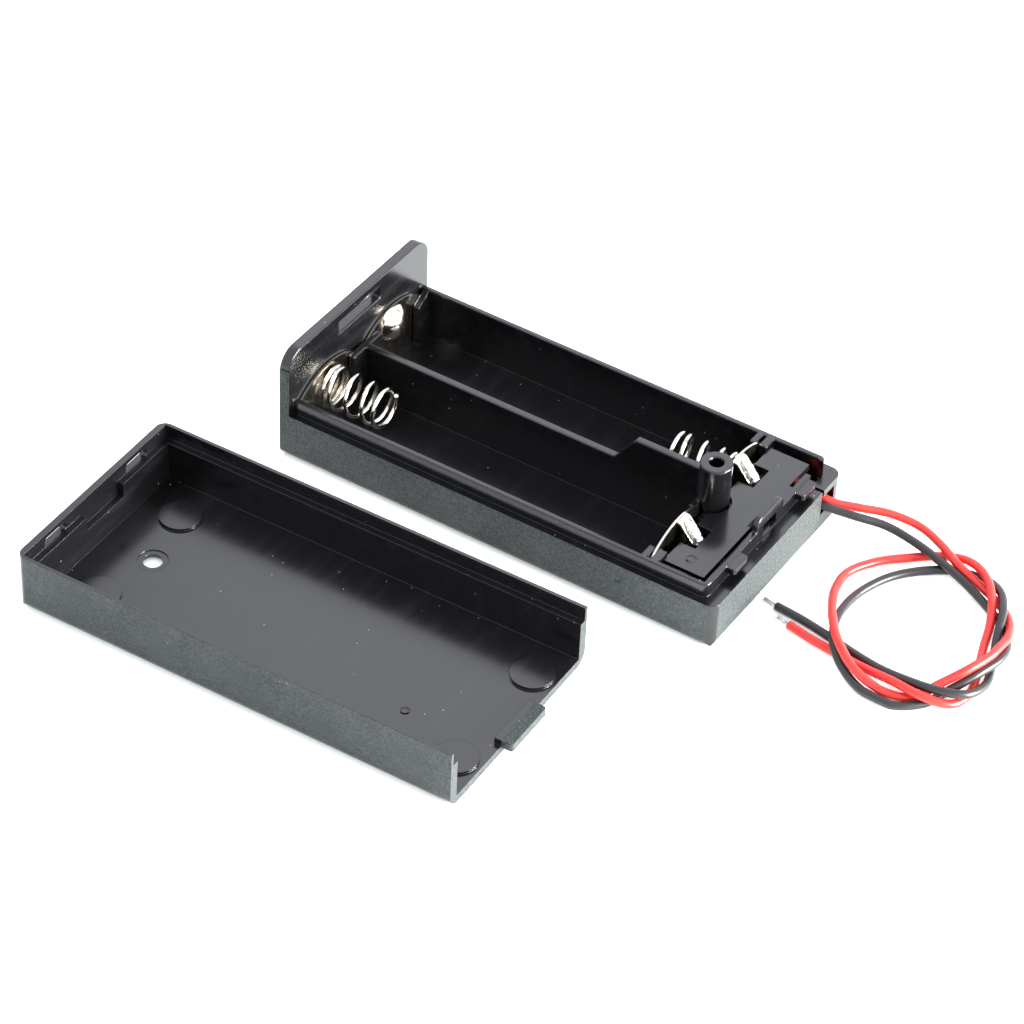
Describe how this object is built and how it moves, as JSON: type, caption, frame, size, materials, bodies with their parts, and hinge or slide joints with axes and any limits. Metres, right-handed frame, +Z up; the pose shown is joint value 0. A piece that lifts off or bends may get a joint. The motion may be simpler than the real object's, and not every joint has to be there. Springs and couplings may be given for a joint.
{
  "type": "two-cell battery box with switch",
  "caption": "Open battery box for round cells with spring and button contacts, a slide switch in its base, flying leads and a lift-off cover lying beside it.",
  "frame": {"origin": "centre of the box's underside, where it stands on the table", "axes": "+Z up, +X along the cells towards the end where the leads leave, +Y away from the cover that lies beside the box"},
  "size_m": [0.1131, 0.0806, 0.0176],
  "materials": {
    "moulding_black": "satin",
    "moulding_gloss": "gloss",
    "contact_nickel": "satin",
    "solder": "satin",
    "pvc_red": "satin",
    "pvc_black": "satin"
  },
  "bodies": {
    "box": {"base_tray": "moulding_black", "switch_retainer_plate": "moulding_gloss", "switch_terminal_battery": "contact_nickel", "switch_terminal_lead": "contact_nickel", "end_bridge_contact": "contact_nickel", "end_bridge_spring": "contact_nickel", "positive_contact": "contact_nickel", "negative_contact": "contact_nickel", "negative_spring": "contact_nickel", "solder_positive_tab": "solder", "solder_negative_tab": "solder", "solder_red_lead": "solder", "red_lead": "pvc_red", "black_lead": "pvc_black", "red_lead_strands": "solder", "black_lead_strands": "solder"},
    "slider": {"switch_slider": "moulding_black", "switch_bridge_contact": "contact_nickel"},
    "cover": {"cover": "moulding_black"}
  },
  "joints": [
    {"name": "switch_slide", "type": "slide", "parent": "box", "child": "slider", "axis": [0, 1, 0], "range_m": [0, 0.003]},
    {"name": "cover_lift", "type": "slide", "parent": "box", "child": "cover", "axis": [0, 0, 1], "range_m": [0, 0.03]}
  ]
}
